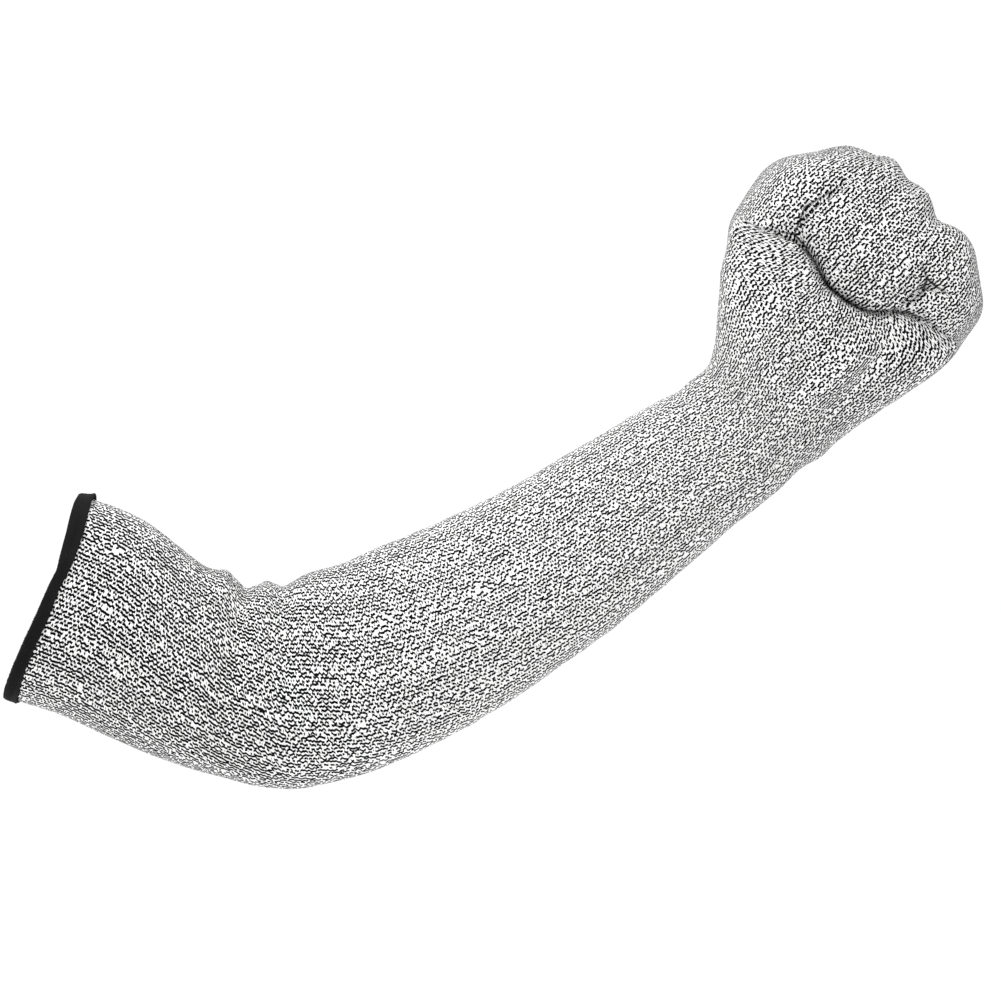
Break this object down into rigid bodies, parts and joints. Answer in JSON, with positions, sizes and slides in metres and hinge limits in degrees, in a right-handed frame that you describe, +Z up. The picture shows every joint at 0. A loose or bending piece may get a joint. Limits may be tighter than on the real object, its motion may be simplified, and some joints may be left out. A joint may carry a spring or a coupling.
{
  "type": "cut resistant sleeve",
  "caption": "Worn cut resistant arm sleeve: a seamless grey marl knitted tube over a bent arm and closed fist, with a black overlocked edge band at the upper-arm opening.",
  "frame": {"origin": "centre of the upper-arm opening, where the sleeve sits on the arm", "axes": "+Z up, the bent arm lies in the XZ plane with the hand towards +X, the palm side faces -Y and the back of the hand +Y"},
  "size_m": [0.4297, 0.0946, 0.2815],
  "materials": {
    "marl_knit": "fine jersey knit of white, grey and black marl yarn, matt and slightly hairy",
    "edge_thread": "dense black overlock thread wrapped over the raw edge, matt with a faint sheen"
  },
  "bodies": {
    "root": {"knit_sleeve": "marl_knit", "edge_band": "edge_thread"}
  },
  "joints": []
}
